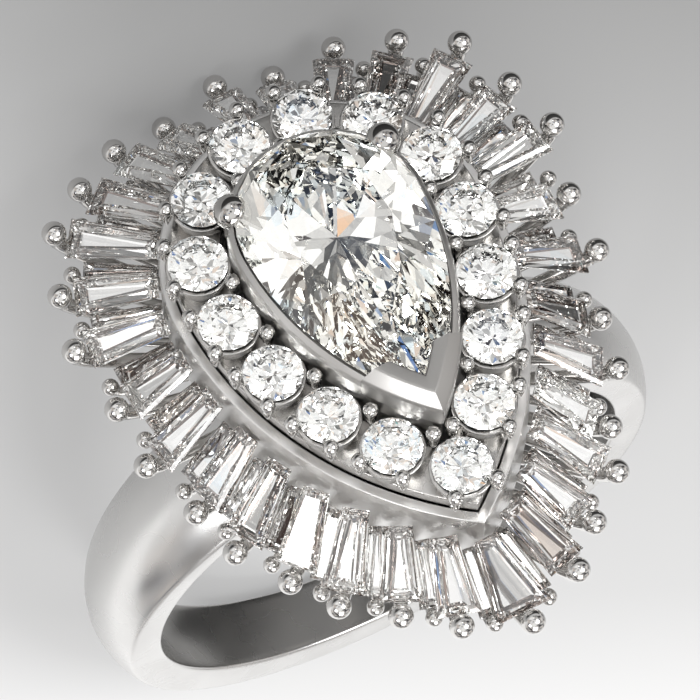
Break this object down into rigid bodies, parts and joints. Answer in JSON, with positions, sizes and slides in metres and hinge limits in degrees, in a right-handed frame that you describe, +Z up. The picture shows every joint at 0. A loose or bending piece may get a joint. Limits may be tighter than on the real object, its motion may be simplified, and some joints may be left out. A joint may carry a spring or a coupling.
{
  "type": "cocktail ring",
  "caption": "Cocktail ring with a pear stone in a halo of round stones above a flared fan of tapered baguettes, lying on its side.",
  "frame": {"origin": "middle of the ring's overall box, on the floor it lies on", "axes": "+Z up; +X across the finger hole; the head is at the -Y side and faces -Y and up"},
  "size_m": [0.0202, 0.0277, 0.0215],
  "materials": {
    "white_metal": "polished white metal",
    "clear_stone": "clear cubic zirconia, faceted and polished",
    "baguette_stone": "clear cubic zirconia, step cut and polished"
  },
  "bodies": {
    "root": {"shank": "white_metal", "gallery": "white_metal", "halo_setting": "white_metal", "pear_setting": "white_metal", "pear_stone": "clear_stone", "halo_stone_01": "clear_stone", "halo_stone_02": "clear_stone", "halo_stone_03": "clear_stone", "halo_stone_04": "clear_stone", "halo_stone_05": "clear_stone", "halo_stone_06": "clear_stone", "halo_stone_07": "clear_stone", "halo_stone_08": "clear_stone", "halo_stone_09": "clear_stone", "halo_stone_10": "clear_stone", "halo_stone_11": "clear_stone", "halo_stone_12": "clear_stone", "halo_stone_13": "clear_stone", "halo_stone_14": "clear_stone", "halo_stone_15": "clear_stone", "upper_baguettes": "baguette_stone", "lower_baguettes": "baguette_stone"}
  },
  "joints": []
}
